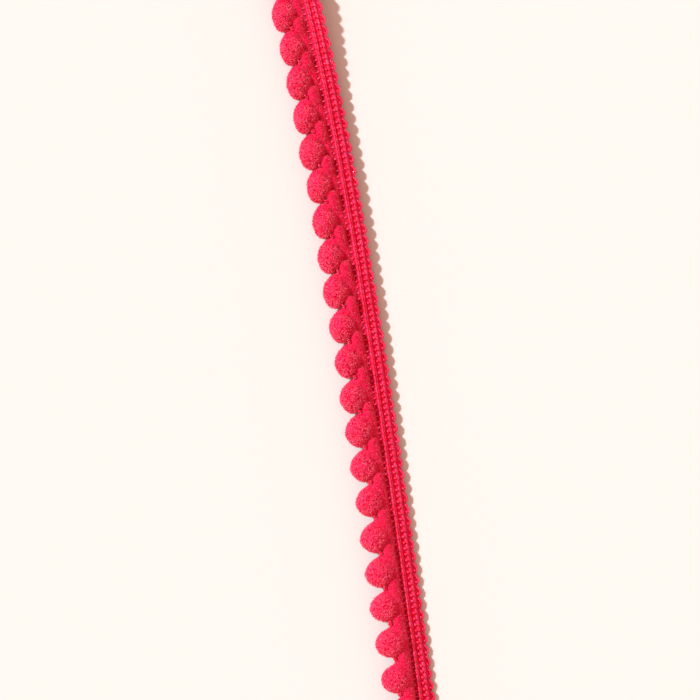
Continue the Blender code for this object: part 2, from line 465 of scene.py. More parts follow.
def cut_pile(name, dark, light, gloss, glow):
    """Acrylic pile between two shades of red."""
    made, tree, shader = new_material(name, 0.5, gloss, glow, reach=0.45 * MM)
    spot = add(tree, "ShaderNodeTexCoord").outputs["Object"]
    shade = add(tree, "ShaderNodeAttribute", attribute_name="shade").outputs["Fac"]
    tufted = add(tree, "ShaderNodeAttribute", attribute_name="tufted").outputs["Fac"]

    # painted shade in the partings between tufts, over the pits that the skin has there
    cells = add(tree, "ShaderNodeTexVoronoi", {"Scale": 1 / TUFT, "Vector": spot})
    parting = add(
        tree,
        "ShaderNodeMapRange",
        {0: cells.outputs["Distance"], 1: PIT[0], 2: PIT[1], 3: -PIT_PAINTED_SHADE, 4: 0.0},
        interpolation_type="SMOOTHSTEP",
    )
    painted_pit_shade = add(tree, "ShaderNodeMath", {0: parting, 1: tufted}, operation="MULTIPLY")

    clumps = add(
        tree, "ShaderNodeTexNoise", {"Scale": 1 / CLUMP, "Detail": 2, "Roughness": 0.6, "Vector": spot}
    ).outputs["Fac"]
    uneven = add(
        tree,
        "ShaderNodeMapRange",
        {0: clumps, 1: CLUMP_EDGES[0], 2: CLUMP_EDGES[1], 3: 0.0, 4: CLUMP_BRIGHTENS},
    )
    lively = add(
        tree, "ShaderNodeMath", {0: shade, 1: FIBRE_BRIGHTENS, 2: uneven}, operation="MULTIPLY_ADD"
    )
    with_painted_pit_shade = add(tree, "ShaderNodeMath", {0: lively, 1: painted_pit_shade}, operation="ADD", use_clamp=True)
    # painted shade on the cord: it keeps only a part of the balls' light share
    cord_painted_shade = add(tree, "ShaderNodeMapRange", {0: tufted, 3: CORD_PAINTED_SHADE_SHARE, 4: 1.0})
    share = add(tree, "ShaderNodeMath", {0: with_painted_pit_shade, 1: cord_painted_shade}, operation="MULTIPLY")
    colour_between(tree, shader, share, linear(dark), linear(light))
    return made


# The tips' light shade paints a sheen, and the roots' deep red paints the shade under the fibres.
PILE_TIPS = cut_pile("shorn acrylic pile", "d00040", "fa96aa", 0.10, 0.0)
PILE_TUFTS = cut_pile("tufts of acrylic pile", "c4003a", "fc6c8a", 0.06, 0.35)
PILE_ROOTS = cut_pile("acrylic pile roots", "be0038", "f43e6a", 0.02, 0.6)
print("materials:", [pile.name for pile in (PILE_TIPS, PILE_TUFTS, PILE_ROOTS)])

# %% [markdown]
# ## The ground of the braid
#
# The braid is a narrow strip of knitted cloth. Its ground is modelled as a thin closed
# sheet: one ribbed section carried along the path, leaning with the table above. It stays
# a little below the stitches, which stand on it. Its outer edge swings in and out with the
# scallops, and its inner edge curls down beside the cord, as the edge of a knit does.

# %% Ground sheet
SCALLOP = 2 * COURSE
SCALLOP_DEPTH = 0.5  # mm
GROUND_SECTION = (
    # inset from the outer edge (mm), height over the braid's underside (mm)
    (0.20, 0.40),
    (0.75, 0.60),
    (1.20, 0.72),
    (1.64, 0.80),
    (1.95, 0.56),
    (2.25, 0.46),
    (2.60, 0.52),
    (3.17, 0.78),
    (3.55, 0.56),
    (3.90, 0.34),
    (4.20, 0.14),
    (4.50, -0.10),
    (4.44, -0.26),
    (4.10, -0.14),
    (3.17, 0.16),
    (2.25, 0.26),
    (1.64, 0.18),
    (0.35, 0.24),
)
SCALLOPED_POINTS = (0, 17)  # the section's points that follow the scallops


def scallop_swing(distance):
    """How far the scalloped edge moves in there: a round tip between sharp notches (mm)."""
    return SCALLOP_DEPTH * (0.5 - abs(math.sin(math.pi * distance / SCALLOP)))


def tube_faces(rings, sides):
    """The faces of a tube whose points come ring by ring, closed at both ends."""
    faces = []
    for ring in range(rings - 1):
        for side in range(sides):
            base = ring * sides
            after = (side + 1) % sides
            faces.append((base + side, base + sides + side, base + sides + after, base + after))
    last = (rings - 1) * sides
    return [*faces, tuple(range(sides)), tuple(reversed(range(last, last + sides)))]


def ground_mesh():
    """The section carried along the whole path, closed at both cut ends."""
    points = []
    for distance in ALONG:
        for side, (inset, height) in enumerate(GROUND_SECTION):
            if side in SCALLOPED_POINTS:
                inset += scallop_swing(distance)
            points.append(on_braid(distance, inset * MM, height * MM)[0])
    mesh = bpy.data.meshes.new("braid_ground")
    mesh.from_pydata(points, [], tube_faces(len(ALONG), len(GROUND_SECTION)))
    uv = mesh.uv_layers.new(name="UVMap")
    for loop, corner in zip(mesh.loops, uv.data):
        ring, side = divmod(loop.vertex_index, len(GROUND_SECTION))
        corner.uv = (GROUND_SECTION[side][0], ALONG[ring] / MM)
    mesh.materials.append(GROUND)
    mesh.shade_smooth()
    return mesh


ground = new_object("braid_ground", ground_mesh())
print("braid_ground:", len(ground.data.polygons), "faces")

# %% [markdown]
# ## One strand of yarn
#
# A stitch is a short piece of yarn on a curved line. `strand` makes it a tube with few
# sides, because each stitch is repeated hundreds of times, and it writes the UV map that
# the yarn's twist needs. Both ends are closed. A strand is only a pattern for the trees to
# copy, so it is noted in a list and removed at the end.

# %% Strand helper
patterns = []


def strand(name, line, thickness, sides=4):
    """A pattern: a tube through the points of line (mm), tapered by thickness."""
    centres = [Vector(point) * MM for point in line]
    widths = np.broadcast_to(thickness, len(centres)) * MM / 2
    points, uvs = [], []
    along = 0.0
    for k, centre in enumerate(centres):
        before, after = centres[max(k - 1, 0)], centres[min(k + 1, len(centres) - 1)]
        if k:
            along += (centre - centres[k - 1]).length / MM
        facing = (after - before).to_track_quat("Y", "Z")
        for side in range(sides):
            angle = 2 * math.pi * side / sides
            spoke = Vector((math.sin(angle), 0, math.cos(angle))) * widths[k]
            points.append(centre + facing @ spoke)
            uvs.append((side / sides, along))
    mesh = bpy.data.meshes.new(name)
    mesh.from_pydata(points, [], tube_faces(len(centres), sides))
    layer = mesh.uv_layers.new(name="UVMap")
    for face in mesh.polygons:
        seam = max(mesh.loops[k].vertex_index % sides for k in face.loop_indices) == sides - 1
        for k in face.loop_indices:
            turn, length = uvs[mesh.loops[k].vertex_index]
            wrapped = seam and turn == 0 and len(face.vertices) == 4
            layer.data[k].uv = (1.0 if wrapped else turn, length)
    mesh.shade_smooth()
    patterns.append(new_object(name, mesh))
    return patterns[-1]


# %% [markdown]
# ## A tree that sews along a rail
#
# The tree takes a rail, a line on the braid that knows which way is up, spaces points
# evenly on it and sets a stitch on each one: the stitch's Y runs along the rail and its Z
# points up. `Unevenness` turns and sizes each stitch a little by chance.

# %% Stitch tree
STITCH_SHADES = 7  # the seed that gives each stitch its shade


def stitches_tree():
    """Sets a stitch on each of a rail's evenly spaced points."""
    tree, given = new_tree(
        "stitches along a rail",
        Object=["Stitch"],
        Int=["Stitches", "Seed"],
        Float=["Size", "Unevenness"],
        Material=["Yarn"],
    )
    path = add(tree, "GeometryNodeMeshToCurve", {"Mesh": given["Geometry"]})
    even = add(
        tree, "GeometryNodeResampleCurve", {"Curve": path, "Count": given["Stitches"]}, mode="COUNT"
    )

    up = add(tree, "GeometryNodeInputNamedAttribute", {"Name": "up"}, data_type="FLOAT_VECTOR")
    facing = add(
        tree,
        "FunctionNodeAxesToRotation",
        {0: up, 1: add(tree, "GeometryNodeInputTangent")},
        primary_axis="Z",
        secondary_axis="Y",
    )
    turned = chance_turn(tree, given["Seed"], given["Unevenness"], facing)

    grain = add(
        tree, "FunctionNodeRandomValue", {2: -1.0, 3: 1.0, "Seed": given["Seed"]}, data_type="FLOAT"
    ).outputs[1]
    growth = add(
        tree, "ShaderNodeMath", {0: grain, 1: given["Unevenness"], 2: 1.0}, operation="MULTIPLY_ADD"
    )
    size = add(tree, "ShaderNodeMath", {0: growth, 1: given["Size"]}, operation="MULTIPLY")

    sewn = copies(tree, even, given["Stitch"], turned, size, STITCH_SHADES)
    return finish_tree(tree, sewn, given["Yarn"])


SEW = stitches_tree()

# %% [markdown]
# A rail is a mesh of points and edges with the up direction stored on its points. Most
# rails follow the braid at one inset and height. `sew` runs the tree on a rail and adds
# what it made to the list of the braid's pieces.

# %% Rails
stitches = []


def rail(name, spots):
    """A line through (point, up) pairs, as a mesh that carries the up direction."""
    mesh = bpy.data.meshes.new(name)
    edges = [(k, k + 1) for k in range(len(spots) - 1)]
    mesh.from_pydata([point for point, _ in spots], edges, [])
    up = mesh.attributes.new("up", "FLOAT_VECTOR", "POINT")
    up.data.foreach_set("vector", np.array([up for _, up in spots], np.float32).ravel())
    return mesh


def braid_rail(name, inset, height, first, last, side=1):
    """A rail on the braid from one distance to another; side -1 is the back."""
    distances = np.linspace(first, last, COURSES * 2)
    spots = [on_braid(distance, inset * MM, height * MM) for distance in distances]
    return rail(name, [(point, up * side) for point, up in spots])


def sew(name, line, stitch, count, seed, unevenness, size=1.0):
    """Sews count stitches of yarn along a rail."""
    sizes = {"Stitch": stitch, "Stitches": count, "Size": size, "Unevenness": unevenness}
    stitches.append(grow(name, SEW, line, {**sizes, "Seed": seed, "Yarn": YARN}))


# %% [markdown]
# ## The chains
#
# Two chains of loops run the length of the braid and make its ribs. Each loop comes up
# through the one before it: two legs spread, meet in a round head, and hold the next pair
# of legs. Seen from above that is a row of small Vs. The same chains show on the back.

# %% Chain stitches
YARN_THICKNESS = 0.46
BACK_HEIGHT = 0.38  # mm from the braid's underside to the chains on its back
WHOLE_LENGTH = (COURSE / 2, LENGTH - COURSE / 2)  # from the first stitch to the last
CHAIN_LEG = (
    # across, as a share of the spread; along, up (mm)
    (0.60, -0.45, 0.00),
    (0.95, -0.05, 0.06),
    (1.00, 0.35, 0.10),
    (0.85, 0.72, 0.10),
)
CHAIN_HEAD = (0.0, 0.97, 0.05)
CHAIN_MIDDLE = 0.26  # mm along a loop, where its slant leaves it in place
CHAINS = (
    # name, inset, height, half the spread of its legs, slant, fall to its inner side (mm), seed
    ("outer_chain", 1.58, 0.86, 0.11, 0.05, 0.00, 11),
    ("inner_chain", 3.20, 0.78, 0.24, 0.14, 0.35, 12),
)


def chain_loop(spread, slant, fall):
    """One loop, slanting the way its yarn is twisted: across, along, up (mm)."""
    first = [(-spread * side, along, up) for side, along, up in CHAIN_LEG]
    second = [(-side, along, up) for side, along, up in reversed(first)]
    return [
        (side - slant * (along - CHAIN_MIDDLE), along, up - fall * side)
        for side, along, up in (*first, CHAIN_HEAD, *second)
    ]


for name, inset, height, spread, slant, fall, seed in CHAINS:
    loop = strand(name + "_loop", chain_loop(spread, slant, fall), YARN_THICKNESS)
    face = braid_rail(name + "_rail", inset, height, *WHOLE_LENGTH)
    sew(name, face, loop, COURSES, seed, unevenness=0.06)
    back = braid_rail(name + "_back", inset, BACK_HEIGHT, *WHOLE_LENGTH, side=-1)
    sew(name + "_back", back, loop, COURSES, seed, unevenness=0.03)

# %% [markdown]
# ## The knots between the chains
#
# Where the crosswise thread passes over a chain's neighbour it makes a small knot, one to
# a course. They catch the light as lines of tiny beads: a bold one between the chains,
# which stands highest on the braid, a fine one low on the inner edge, and one to every
# second course under the scallops.

# %% Knots
KNOT = (
    # across, along, up (mm)
    (0.04, -0.20, -0.26),
    (0.02, -0.12, 0.06),
    (0.00, 0.00, 0.20),
    (-0.02, 0.12, 0.06),
    (-0.04, 0.20, -0.26),
)
KNOT_THICKNESS = (0.22, 0.46, 0.58, 0.46, 0.22)
KNOT_ROW = 0.59 * COURSE  # where the first row of knots lies
KNOTS = (
    # name, inset (mm), height (mm), size, spacing in courses, seed
    ("bold_knots", 2.22, 0.92, 1.05, 1, 21),
    ("fine_knots", 4.02, 0.38, 0.72, 1, 22),
    ("edge_knots", 0.64, 0.56, 0.95, 2, 23),
)

knot = strand("knot", KNOT, KNOT_THICKNESS, sides=6)
for name, inset, height, size, spacing, seed in KNOTS:
    count = COURSES // spacing
    last = KNOT_ROW + (count - 1) * spacing * COURSE
    line = braid_rail(name + "_rail", inset, height, KNOT_ROW, last)
    sew(name, line, knot, count, seed, unevenness=0.10, size=size)

# %% [markdown]
# ## The scalloped edge
#
# At the outer edge the thread turns back every second course. Each turn is a round loop
# that stands out from the chain, with a second strand under it, and between the strands
# are the dark three-cornered holes of the edge.

# %% Scallops
SCALLOP_LOOP = (
    # outwards from the rail, along, up (mm)
    (-0.75, 1.62, -0.22),
    (-0.50, 1.32, -0.04),
    (-0.24, 0.98, 0.12),
    (0.05, 0.58, 0.14),
    (0.28, 0.24, 0.12),
    (0.38, -0.14, 0.08),
    (0.30, -0.58, 0.04),
    (0.04, -0.96, -0.04),
    (-0.35, -1.26, -0.22),
)
UNDER_TURN = (
    # outwards from the rail, along, up (mm)
    (-0.35, 1.50, -0.24),
    (0.02, 1.10, -0.16),
    (0.28, 0.66, -0.12),
    (0.40, 0.20, -0.12),
    (0.40, -0.28, -0.14),
    (0.26, -0.66, -0.16),
    (0.00, -1.02, -0.18),
    (-0.35, -1.30, -0.26),
)
EDGE_INSET = 0.42  # mm in from the braid's outer edge
EDGE_HEIGHT = 0.52  # mm over the braid's underside
EDGES = (
    # name, pattern, its line, thickness (mm), seed
    ("scallop_loops", "scallop_loop", SCALLOP_LOOP, 0.48, 31),
    ("scallop_turns", "scallop_turn", UNDER_TURN, 0.44, 32),
)

for name, pattern, line, thickness, seed in EDGES:
    edge = braid_rail(name + "_rail", EDGE_INSET, EDGE_HEIGHT, SCALLOP / 2, LENGTH - SCALLOP / 2)
    sew(name, edge, strand(pattern, line, thickness), COURSES // 2, seed, unevenness=0.05)

# %% [markdown]
# ## The cut ends
#
# The piece is cut from a longer one, so its ends are plain cuts, where the knit begins to
# come loose: short tails of yarn lie side by side across the end and point off it.

# %% Cut ends
TAIL = (
    # off the end, sideways, up (mm)
    (-0.60, 0.00, 0.00),
    (-0.10, 0.02, 0.02),
    (0.35, -0.05, 0.00),
    (0.70, 0.04, -0.06),
    (0.95, 0.16, -0.12),
)
TAIL_THICKNESS = (0.34, 0.36, 0.34, 0.28, 0.16)
TAIL_HEIGHT = 0.5 * MM  # over the braid's underside
TAILS = 8
CUT = 0.1 * MM  # how far in from the end the tails come out
ENDS = (
    # name, distance from the near end, first and last inset (mm), seed
    ("near_tails", CUT, (3.9, 0.6), 35),
    ("far_tails", LENGTH - CUT, (0.6, 3.9), 36),
)

tail = strand("tail", TAIL, TAIL_THICKNESS)
for name, distance, insets, seed in ENDS:
    line = rail(name + "_rail", [on_braid(distance, inset * MM, TAIL_HEIGHT) for inset in insets])
    sew(name, line, tail, TAILS, seed, unevenness=0.35)

# %% [markdown]
# ## The bars across the groove
#
# The pile cord hangs from the braid by its crosswise threads: one bar to a course runs
# from the inner edge of the braid into the cord, across the dark groove between the two.

# %% Bars
CORD_INSET = 5.8 * MM
CORD_HEIGHT = 3.45 * MM
CORD_RADIUS = 1.45 * MM
BAR_START = (3.85 * MM, 0.30 * MM)  # where a bar leaves the braid: inset, height
BAR_END = (0.4, 0.3)  # where it enters the cord: out and up from its middle, in radii
BAR_THICKNESS = 0.30
BAR = (
    # across, along, up (mm)
    (0.55, 0.05, 0.05),
    (0.20, 0.00, 0.12),
    (-0.25, -0.04, 0.08),
    (-0.75, 0.03, -0.05),
)


def bar_spot(distance):
    """Where a bar leaves the braid, and the direction square to the bar."""
    edge = on_braid(distance, *BAR_START)[0]
    out, up = (share * CORD_RADIUS for share in BAR_END)
    cord = place(distance, CORD_INSET - out, CORD_HEIGHT + up)
    ahead = ahead_of(distance).to_3d()
    return edge, (edge - cord).normalized().cross(ahead).normalized()


bar_line = rail("bar_rail", [bar_spot(d) for d in np.linspace(*WHOLE_LENGTH, COURSES)])
bar = strand("bar", BAR, BAR_THICKNESS)
sew("groove_bars", bar_line, bar, COURSES, seed=41, unevenness=0.08)

# %% [markdown]
# ## The pompoms' skin
#
# A pompom of this kind isn't tied by hand: it is a length of pile cord squeezed by a thread
# before and after, and shorn round. So each one is a ball that tapers into the cord, like a
# comma. A string of spheres describes that well. Geometry Nodes turn the spheres into one
# volume, skin it, smooth the creases and ruffle the skin into tufts. A voxel skin is chosen
# over joining meshes, because it merges any number of overlapping balls without a seam.
#
# The points carry `tufted`, 1 on the balls and 0 on the cord. The skin takes it over from
# the nearest point, so that only the shorn balls are ruffled.

# %% Skin tree
def skin_tree():
    """One ruffled skin round many balls, flat where it meets the floor."""
    tree, given = new_tree(
        "skin round balls",
        Float=["Voxel", "Ruffle", "Tuft"],
        Int=["Smoothing"],
        Material=["Pile"],
    )
    centres = given["Geometry"]
    named = "GeometryNodeInputNamedAttribute"
    radius = add(tree, named, {"Name": "ball"}, data_type="FLOAT")
    tufted = add(tree, named, {"Name": "tufted"}, data_type="FLOAT")
    position = add(tree, "GeometryNodeInputPosition")

    balls = add(tree, "GeometryNodeMeshToPoints", {"Mesh": centres, "Radius": radius})
    volume = add(
        tree,
        "GeometryNodePointsToVolume",
        {"Points": balls, "Voxel Size": given["Voxel"], "Radius": radius},
        resolution_mode="VOXEL_SIZE",
    )
    skin = add(tree, "GeometryNodeVolumeToMesh", {"Volume": volume, "Threshold": 0.05})
    even = add(
        tree,
        "GeometryNodeBlurAttribute",
        {"Value": position, "Iterations": given["Smoothing"]},
        data_type="FLOAT_VECTOR",
    )
    smooth = add(tree, "GeometryNodeSetPosition", {"Geometry": skin, "Position": even})

    nearest = add(tree, "GeometryNodeSampleNearest", {0: centres, 1: position}, domain="POINT")
    share = add(
        tree,
        "GeometryNodeSampleIndex",
        {"Geometry": centres, "Value": tufted, "Index": nearest},
        data_type="FLOAT",
        domain="POINT",
    )
    soft_share = add(
        tree, "GeometryNodeBlurAttribute", {0: share, "Iterations": given["Smoothing"]}, data_type="FLOAT"
    )
    marked = add(
        tree,
        "GeometryNodeStoreNamedAttribute",
        {"Name": "tufted", "Geometry": smooth, "Value": soft_share},
        data_type="FLOAT",
        domain="POINT",
    )

    finer = add(tree, "ShaderNodeMath", {0: 1.0, 1: given["Tuft"]}, operation="DIVIDE")
    cells = add(tree, "ShaderNodeTexVoronoi", {"Vector": position, "Scale": finer})
    pits = add(
        tree,
        "ShaderNodeMapRange",
        {0: cells.outputs["Distance"], 1: PIT[0], 2: PIT[1], 3: -1.0, 4: 0.0},
        interpolation_type="SMOOTHSTEP",
    )
    deep = add(tree, "ShaderNodeMath", {0: pits, 1: given["Ruffle"]}, operation="MULTIPLY")
    depth = add(tree, "ShaderNodeMath", {0: deep, 1: tufted}, operation="MULTIPLY")
    outwards = add(tree, "GeometryNodeInputNormal")
    offset = add(tree, "ShaderNodeVectorMath", {0: outwards, 3: depth}, operation="SCALE")
    ruffled = add(tree, "GeometryNodeSetPosition", {"Geometry": marked, "Offset": offset})

    soft = add(tree, "GeometryNodeSetShadeSmooth", {"Geometry": ruffled})
    return finish_tree(tree, soft, given["Pile"], lowest=0.0)


SKIN = skin_tree()

# %% [markdown]
# ## One pompom as a string of balls
#
# Each pompom is a line of spheres from the ball into its neck and on into the cord, a tube
# of spheres where the cord runs on beside the ball, and single ones that give the ball its
# crown and its middle. At the far end the balls crowd together and lean back on long necks,
# and at the near end they stand square and apart. The tables give both versions, and every
# pompom takes its own mix of the two.

# %% Tables of balls
POMPOM_LINE = (
    # ahead, inset, height, radius at the far end; the same at the near end (mm)
    (-1.30, 9.00, 2.75, 2.38, -0.20, 8.00, 3.30, 3.05),
    (0.00, 9.15, 2.90, 2.45, 0.00, 8.75, 3.30, 2.97),
    (1.20, 8.93, 2.90, 2.42, 0.40, 8.35, 3.30, 2.97),
    (1.85, 8.60, 2.80, 2.32, 0.40, 7.90, 3.30, 3.08),
    (3.00, 8.30, 2.50, 1.95, 1.50, 7.25, 2.85, 2.40),
    (3.60, 7.45, 2.50, 1.70, 2.80, 6.60, 2.90, 1.80),
    (4.60, 6.45, 3.75, 1.38, 4.20, 6.25, 3.50, 1.45),
    (6.00, 6.35, 4.05, 1.32, 5.50, 6.10, 3.60, 1.40),
)
POMPOM_TUBE = (
    # the same, for the cord that runs on beside the ball
    (4.40, 6.30, 3.85, 1.33, 4.20, 6.05, 3.55, 1.45),
    (3.00, 6.08, 2.90, 1.33, 2.80, 5.95, 3.35, 1.45),
    (1.40, 5.88, 2.15, 1.33, 1.00, 5.88, 3.15, 1.45),
    (-0.50, 5.80, 1.95, 1.33, -1.20, 5.85, 2.95, 1.42),
)
POMPOM_EXTRA = (
    # the same, for the ball's crown, its middle and its side by the cord
    (0.10, 8.60, 4.05, 2.42, 0.10, 8.60, 3.35, 3.02),
    (-0.60, 8.70, 3.55, 2.45, -0.05, 8.15, 3.30, 3.12),
    (0.80, 8.60, 3.55, 2.45, 0.20, 8.25, 3.20, 3.15),
    (0.50, 8.10, 3.45, 2.40, 0.20, 7.30, 3.30, 2.50),
    (-0.60, 8.15, 3.40, 2.35, -0.40, 7.35, 3.20, 2.40),
    (0.20, 6.90, 2.30, 1.70, 0.20, 6.60, 2.60, 1.90),
)
CROWDED = 0.35  # the share of the trim's length, from the far end, where the balls crowd
APART = 0.85  # and where they have come apart


def near_share(distance):
    """How much the trim looks there as it does at the near end, from 0 to 1."""
    return np.clip((1 - distance / LENGTH - CROWDED) / (APART - CROWDED), 0, 1)


print("shares of the near end:", [round(float(near_share(LENGTH * k / 4)), 2) for k in range(5)])

# %% [markdown]
# ## The whole row
#
# Shearing is never quite even, so each pompom's size and place wander a little by chance.
# The smaller spheres, which are the cord, stay where they are. Under the pompoms lies a
# thin core from end to end, which keeps the row in one piece. Where the braid lifts off the
# surface, the core rises with it, so that no daylight shows between the two.

# %% Balls of the row
ROW_SEED = 5
UNEVEN = 0.15  # mm that a ball's place wanders either way
UNEVEN_SIZE = 0.025
STAND_OUT = 0.6  # mm by which the balls at the trim's middle stand further out
ONLY_CORD, ALL_BALL = 1.5, 2.3  # spheres up to the one stay put, from the other they wander (mm)
FILL = 5  # steps between two spheres of a line
PILE_COVER = 0.16 * MM  # how far the fibres stand out of the skin
TUFTED_FROM = 2.2 * MM  # balls larger than this are shorn; the cord is smooth
CORE_INSET = CORD_INSET - 0.35 * MM
CORE_DROP = (1.45, 0.90)  # mm the core lies under the cord's middle: far end, near end
UNDER_BRAID = 0.55 * MM  # where the braid is lifted, the core stays this close under it


def filled(line):
    """Balls all along a line of balls, each (x, y, z, radius)."""
    rows = []
    for start, end in zip(line[:-1], line[1:]):
        rows += [np.array(start) + (np.array(end) - start) * k / FILL for k in range(FILL + 1)]
    return rows


def pompom_balls():
    """All balls of the row, as (x, y, z, radius)."""
    chance = np.random.default_rng(ROW_SEED)
    balls = []
    for index in range(POMPOMS):
        middle = PITCH * (index + 0.5)
        near = near_share(middle)
        growth = UNEVEN_SIZE * chance.uniform(-1, 1)
        wander = UNEVEN * chance.uniform(-1, 1, 2)
        wander[1] += STAND_OUT * math.sin(math.pi * middle / LENGTH)
        made = []
        for sizes in (*POMPOM_LINE, *POMPOM_TUBE, *POMPOM_EXTRA):
            far_sizes, near_sizes = np.array(sizes[:4]), np.array(sizes[4:])
            ahead, inset, height, radius = far_sizes + (near_sizes - far_sizes) * near
            loose = np.clip((radius - ONLY_CORD) / (ALL_BALL - ONLY_CORD), 0, 1)
            radius = radius * (1 + growth * loose) * MM - PILE_COVER
            distance = middle + (ahead + wander[0] * loose) * MM
            distance = np.clip(distance, radius, LENGTH - radius)
            inset = (inset + wander[1] * loose) * MM
            made.append((*place(distance, inset, height * MM), radius))
        tube = len(POMPOM_LINE) + len(POMPOM_TUBE)
        balls += made
        balls += filled(made[: len(POMPOM_LINE)])
        balls += filled(made[len(POMPOM_LINE) : tube])
    return balls


def core_balls():
    """The cord's own thin core, which carries the pompoms from end to end."""
    core = CORD_RADIUS - 2 * PILE_COVER
    made = []
    for distance in np.linspace(core, LENGTH - core, COURSES * 3):
        drop = np.interp(near_share(distance), (0, 1), CORE_DROP) * MM
        height = max(CORD_HEIGHT - drop, lean(distance)[1] - UNDER_BRAID)
        made.append((*place(distance, CORE_INSET, height), core))
    return made


balls = np.array(pompom_balls() + core_balls())
ball_points = bpy.data.meshes.new("balls")
ball_points.from_pydata(balls[:, :3].tolist(), [], [])
for label, values in (("ball", balls[:, 3]), ("tufted", balls[:, 3] > TUFTED_FROM - PILE_COVER)):
    layer = ball_points.attributes.new(label, "FLOAT", "POINT")
    layer.data.foreach_set("value", values.astype(np.float32))
print("balls:", len(balls))

# %% [markdown]
# Now the skin can be drawn round them. Its voxels are a quarter of a millimetre, well under
# half of a tuft's width, and two rounds of smoothing take out their steps.

# %% Pompoms
skin_sizes = {
    "Voxel": 0.25 * MM,
    "Smoothing": 2,
    "Ruffle": 0.17 * MM,
    "Tuft": TUFT,
    "Pile": PILE_ROOTS,
}
pompoms = grow("pompoms", SKIN, ball_points, skin_sizes)

# %% [markdown]
# ## The pile itself
#
# The skin alone would look like felt clay. What makes a pompom soft is its fibres, so a
# second tree plants short spikes all over it, standing on the skin and leaning every way.

# %% Pile tree
LUCK = (0.65, 1.25)  # the shortest and the longest fibre, in shares of the length asked for
OFF_FLOOR = 0.02 * MM  # no fibre reaches lower
LUCK_SEED = 3
FIBRE_SHADES = 9  # the seed that gives each fibre its shade


def pile_tree():
    """Plants fibres on a surface."""
    tree, given = new_tree(
        "pile on a surface",
        Object=["Fibre"],
        Float=["Density", "On the cord", "Length", "Thickness", "Splay", "Clear of floor"],
        Int=["Seed"],
        Material=["Pile"],
    )
    spot = add(tree, "ShaderNodeSeparateXYZ", {0: add(tree, "GeometryNodeInputPosition")})
    high = add(
        tree,
        "FunctionNodeCompare",
        {0: spot.outputs["Z"], 1: given["Clear of floor"]},
        data_type="FLOAT",
        operation="GREATER_THAN",
    )
    tufted = add(tree, "GeometryNodeInputNamedAttribute", {"Name": "tufted"}, data_type="FLOAT")
    share = add(tree, "ShaderNodeMix", {0: tufted, 2: given["On the cord"], 3: 1.0}, data_type="FLOAT")
    density = add(tree, "ShaderNodeMath", {0: share, 1: given["Density"]}, operation="MULTIPLY")
    planted = add(
        tree,
        "GeometryNodeDistributePointsOnFaces",
        {"Mesh": given["Geometry"], "Selection": high, "Density": density, "Seed": given["Seed"]},
    )
    splay = given["Splay"]
    limits = add(tree, "ShaderNodeCombineXYZ", {0: splay, 1: splay, 2: math.pi})
    facing = chance_turn(tree, given["Seed"], limits, planted.outputs["Rotation"])

    tall = add(
        tree, "FunctionNodeRandomValue", {2: LUCK[0], 3: LUCK[1], "Seed": LUCK_SEED}, data_type="FLOAT"
    ).outputs[1]
    length = add(tree, "ShaderNodeMath", {0: tall, 1: given["Length"]}, operation="MULTIPLY")
    size = add(tree, "ShaderNodeCombineXYZ", {0: given["Thickness"], 1: given["Thickness"], 2: length})

    points = planted.outputs["Points"]
    pile = copies(tree, points, given["Fibre"], facing, size, FIBRE_SHADES)
    return finish_tree(tree, pile, given["Pile"], lowest=OFF_FLOOR)


PLANT = pile_tree()

# %% [markdown]
# A fibre is a spike with three faces and a closed foot. There are tens of thousands of
# them, so this is bought with a very plain shape. Three coats are planted: broad tufts on
# the balls alone, then short pile on balls and cord, drawn a little coarser than the real
# fibres so that it shows, and last a coat of long thin hairs that blurs the outline.

# %% Coats of pile
FOOT = -0.25  # how deep a spike stands in the skin, in shares of its length


def unit_fibre():
    """A three-sided spike, one unit wide and one long, to be scaled by the tree."""
    corners = []
    for k in range(3):
        angle = 2 * math.pi * k / 3
        corners.append((math.cos(angle) / 2, math.sin(angle) / 2, FOOT))
    mesh = bpy.data.meshes.new("fibre")
    faces = [(0, 1, 3), (1, 2, 3), (2, 0, 3), (2, 1, 0)]
    mesh.from_pydata([*corners, (0, 0, 1 + FOOT)], [], faces)
    patterns.append(new_object("fibre", mesh))
    return patterns[-1]


def plant(name, ground, pile, density, on_cord, length, thickness, splay, clear, seed):
    """Plants a coat on a copy of the ground's mesh: so many fibres per mm2, their sizes in
    mm, their splay in degrees, and none with its foot lower than clear (mm)."""
    sizes = {
        "Fibre": fibre,
        "Density": density / MM**2,
        "On the cord": on_cord,
        "Length": length * MM,
        "Thickness": thickness * MM,
        "Splay": math.radians(splay),
        "Clear of floor": clear * MM,
        "Seed": seed,
        "Pile": pile,
    }
    return grow(name, PLANT, ground.data.copy(), sizes)


fibre = unit_fibre()
COATS = (
    # name, pile, fibres per mm2, share of them on the cord, length, thickness, splay, clear, seed
    ("pompom_tufts", PILE_TUFTS, 5.0, 0.0, 0.42, 0.36, 30, 0.5, 53),
    ("pompom_pile", PILE_TIPS, 10.0, 1.0, 0.34, 0.15, 25, 0.5, 51),
    ("pompom_fuzz", PILE_TIPS, 8.0, 0.6, 0.75, 0.04, 50, 0.5, 52),
)
coats = [plant(name, pompoms, *sizes) for name, *sizes in COATS]

# %% [markdown]
# ## Lint along the edge
#
# Spun cotton is never quite smooth. Where the edge loops stand free, short fibre ends stick
# out of the yarn and soften the outline against the light. The pile tree plants them too.

# %% Lint
LINT = (YARN, 40.0, 1.0, 0.75, 0.05, 55, 0.1, 54)  # the same columns as a coat of pile
edge = next(piece for piece in stitches if piece.name == "scallop_loops")
stitches.append(plant("edge_lint", edge, *LINT))

# %% [markdown]
# ## The tie threads
#
# Between two pompoms the tie thread pinches the pile. A few loops of it stand out in each
# notch. They are the same cotton as the braid, and tumble any way up.

